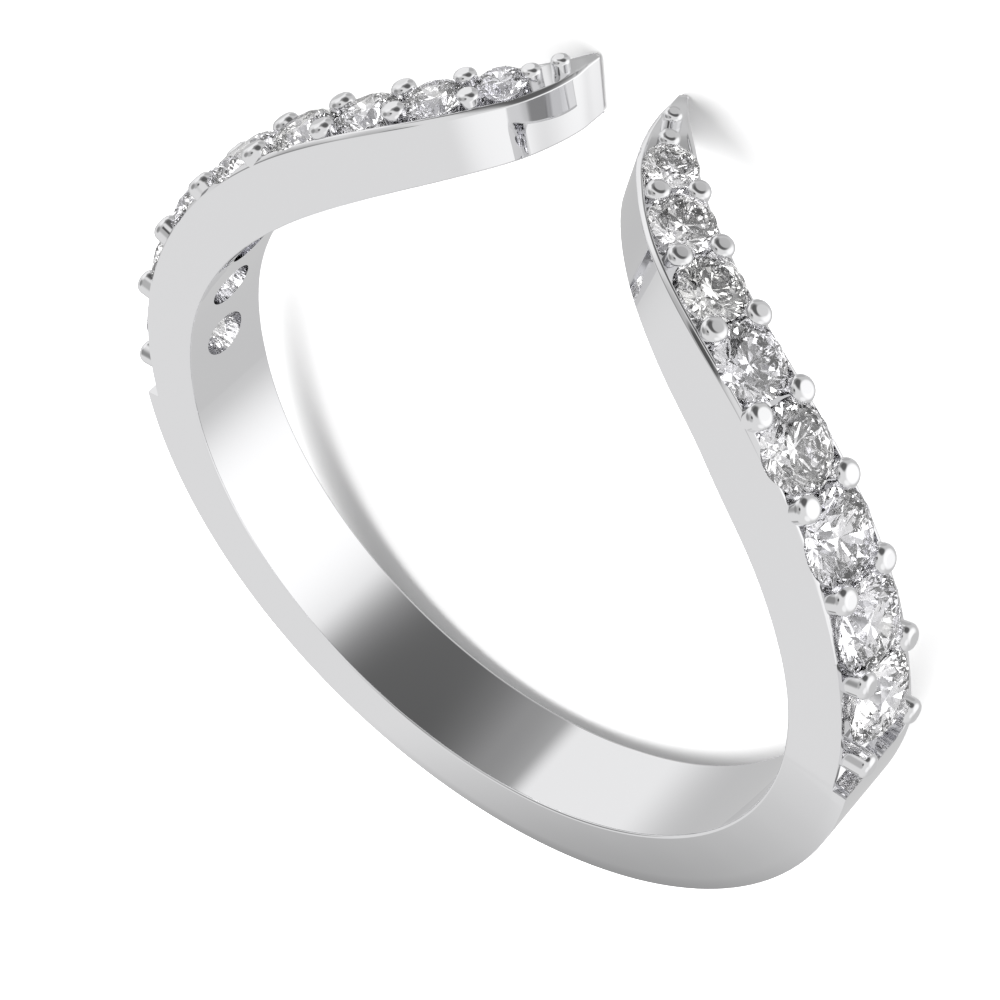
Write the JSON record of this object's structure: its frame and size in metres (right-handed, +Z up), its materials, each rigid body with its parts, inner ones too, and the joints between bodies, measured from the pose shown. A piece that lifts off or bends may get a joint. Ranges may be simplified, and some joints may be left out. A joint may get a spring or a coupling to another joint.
{
  "type": "open band ring",
  "caption": "Polished metal finger ring, open at the front, with two swept tapering arms set with graduated round stones between prongs.",
  "frame": {"origin": "middle of the bounding box's base, on the surface that the ring lies on", "axes": "+Z up from the surface; +Y towards the open front between the arms' tips; +X towards the right arm. The finger hole's axis leans 10.4 degrees back from +Z, towards -Y"},
  "size_m": [0.0212, 0.0212, 0.0052],
  "materials": {
    "polished_white_metal": "mirror polished, rhodium plated white gold",
    "clear_stone": "clear, brilliant cut, polished"
  },
  "bodies": {
    "root": {"band": "polished_white_metal", "stone_left_1": "clear_stone", "stone_left_2": "clear_stone", "stone_left_3": "clear_stone", "stone_left_4": "clear_stone", "stone_left_5": "clear_stone", "stone_left_6": "clear_stone", "stone_left_7": "clear_stone", "stone_left_8": "clear_stone", "stone_right_1": "clear_stone", "stone_right_2": "clear_stone", "stone_right_3": "clear_stone", "stone_right_4": "clear_stone", "stone_right_5": "clear_stone", "stone_right_6": "clear_stone", "stone_right_7": "clear_stone", "stone_right_8": "clear_stone"}
  },
  "joints": []
}
